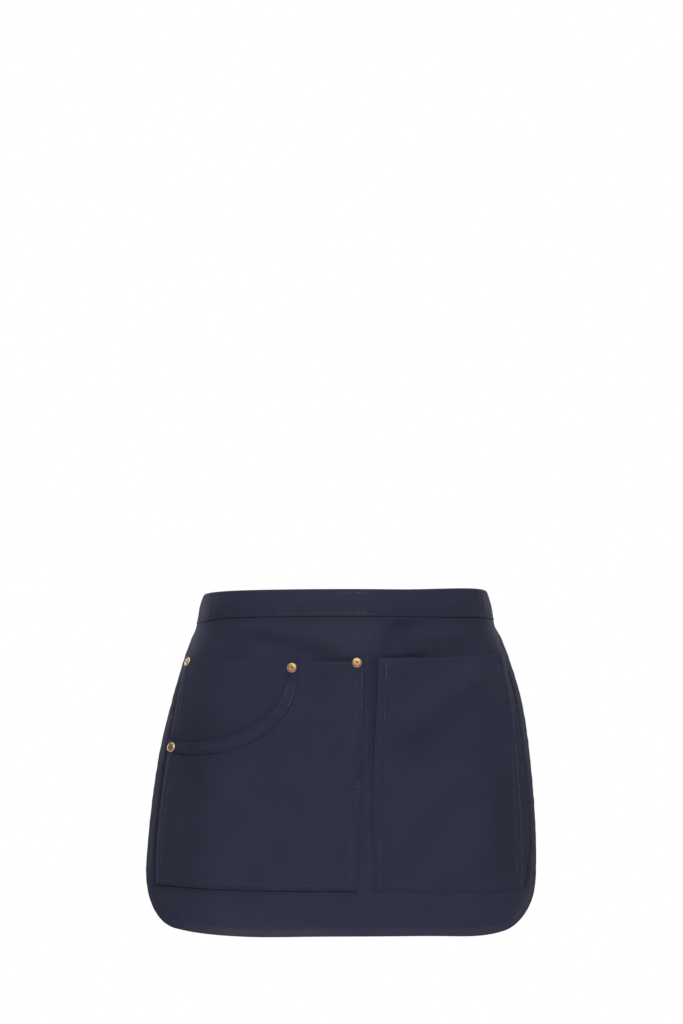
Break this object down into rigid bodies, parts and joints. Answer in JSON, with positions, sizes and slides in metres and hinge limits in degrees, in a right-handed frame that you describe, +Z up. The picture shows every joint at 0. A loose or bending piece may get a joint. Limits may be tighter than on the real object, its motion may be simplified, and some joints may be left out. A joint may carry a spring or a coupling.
{
  "type": "waist apron",
  "caption": "Short cloth waist apron worn round the hips, with a looped waistband, a layered pocket with a curved mouth, a plain patch pocket and domed rivets.",
  "frame": {"origin": "middle of the waist loop, at the height of the waistband's top edge", "axes": "+Z up, the apron's front faces -Y, +X to the right as seen from the front"},
  "size_m": [0.3906, 0.2148, 0.3488],
  "materials": {
    "panel_cloth": "matt woven twill, dark slate blue",
    "band_cloth": "matt woven twill, dark slate blue",
    "pocket_cloth": "matt woven twill, dark slate blue",
    "rivet_brass": "aged, softly polished"
  },
  "bodies": {
    "root": {"apron_panel": "panel_cloth", "waistband": "band_cloth", "pocket_left_inner": "pocket_cloth", "pocket_left_outer": "pocket_cloth", "mouth_band": "pocket_cloth", "pocket_right": "pocket_cloth", "rivet_top_left": "rivet_brass", "rivet_top_right": "rivet_brass", "rivet_mouth_top": "rivet_brass", "rivet_mouth_side": "rivet_brass"}
  },
  "joints": []
}
